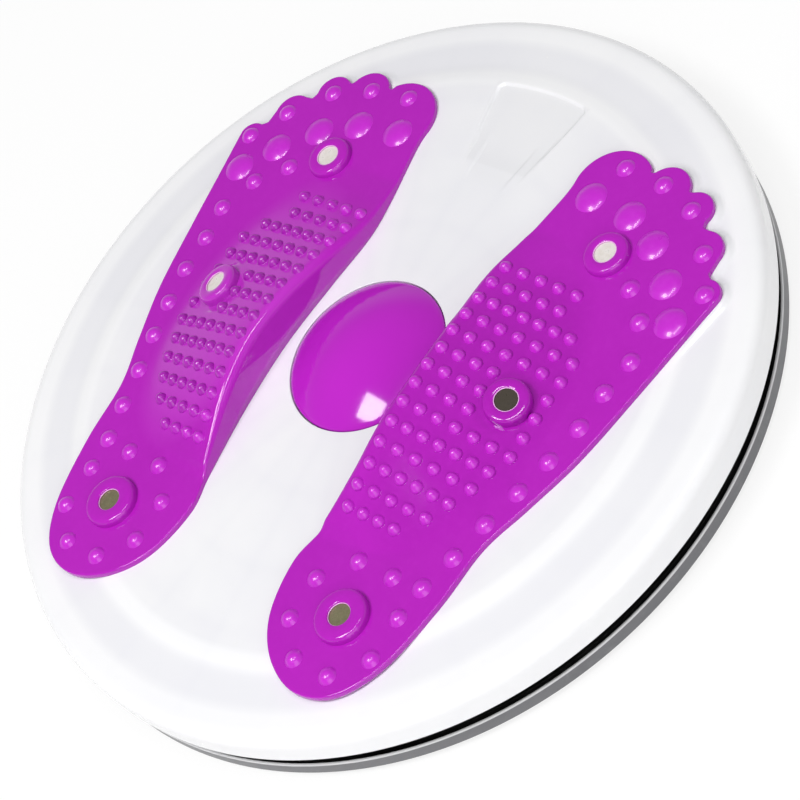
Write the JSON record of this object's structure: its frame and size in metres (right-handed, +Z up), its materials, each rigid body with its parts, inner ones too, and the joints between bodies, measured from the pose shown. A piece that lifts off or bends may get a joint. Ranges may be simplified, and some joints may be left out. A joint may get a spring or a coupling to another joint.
{
  "type": "waist twisting disc",
  "caption": "Round twisting disc that turns on a ring of balls above a flat base, with two foot-shaped massage pads, raised arches, domed nubs and a domed centre cap.",
  "frame": {"origin": "centre of the disc, on the surface that the rubber feet stand on", "axes": "+Z up along the turning axis, +Y towards the toes, +X towards the right foot"},
  "size_m": [0.28, 0.28, 0.0456],
  "materials": {
    "disc_plastic": "glossy, faintly translucent white",
    "pad_vinyl": "glossy soft vinyl",
    "cap_plastic": "high gloss",
    "base_plastic": "satin grey",
    "foot_rubber": "matt",
    "nylon": "satin",
    "steel": "zinc plated",
    "ball_steel": "polished",
    "magnet": "nickel plated, satin"
  },
  "bodies": {
    "base": {"base_plate": "base_plastic", "lower_race": "steel", "hub_spacer": "nylon", "lower_washer": "steel", "nut_cover": "base_plastic", "rubber_foot_1": "foot_rubber", "rubber_foot_2": "foot_rubber", "rubber_foot_3": "foot_rubber", "rubber_foot_4": "foot_rubber", "rubber_foot_5": "foot_rubber", "rubber_foot_6": "foot_rubber"},
    "turntable": {"top_disc": "disc_plastic", "upper_race": "steel", "centre_cap": "cap_plastic", "pivot_bolt": "steel", "head_washer": "steel", "lock_nut": "steel", "left_foot_pad": "pad_vinyl", "right_foot_pad": "pad_vinyl", "left_ball_magnet": "magnet", "left_arch_magnet": "magnet", "left_heel_magnet": "magnet", "right_ball_magnet": "magnet", "right_arch_magnet": "magnet", "right_heel_magnet": "magnet"},
    "ball_ring": {"ball_cage": "nylon", "ball_1": "ball_steel", "ball_2": "ball_steel", "ball_3": "ball_steel", "ball_4": "ball_steel", "ball_5": "ball_steel", "ball_6": "ball_steel", "ball_7": "ball_steel", "ball_8": "ball_steel", "ball_9": "ball_steel", "ball_10": "ball_steel", "ball_11": "ball_steel", "ball_12": "ball_steel"}
  },
  "joints": [
    {"name": "turntable_spin", "type": "hinge", "parent": "base", "child": "turntable", "pos_m": [0, 0, 0.0125], "axis": [0, 0, 1], "continuous": true},
    {"name": "ball_ring_spin", "type": "hinge", "parent": "base", "child": "ball_ring", "pos_m": [0, 0, 0.01115], "axis": [0, 0, 1], "continuous": true}
  ],
  "couplings": [
    {"joint": "ball_ring_spin", "follows": "turntable_spin", "ratio": 0.5}
  ]
}
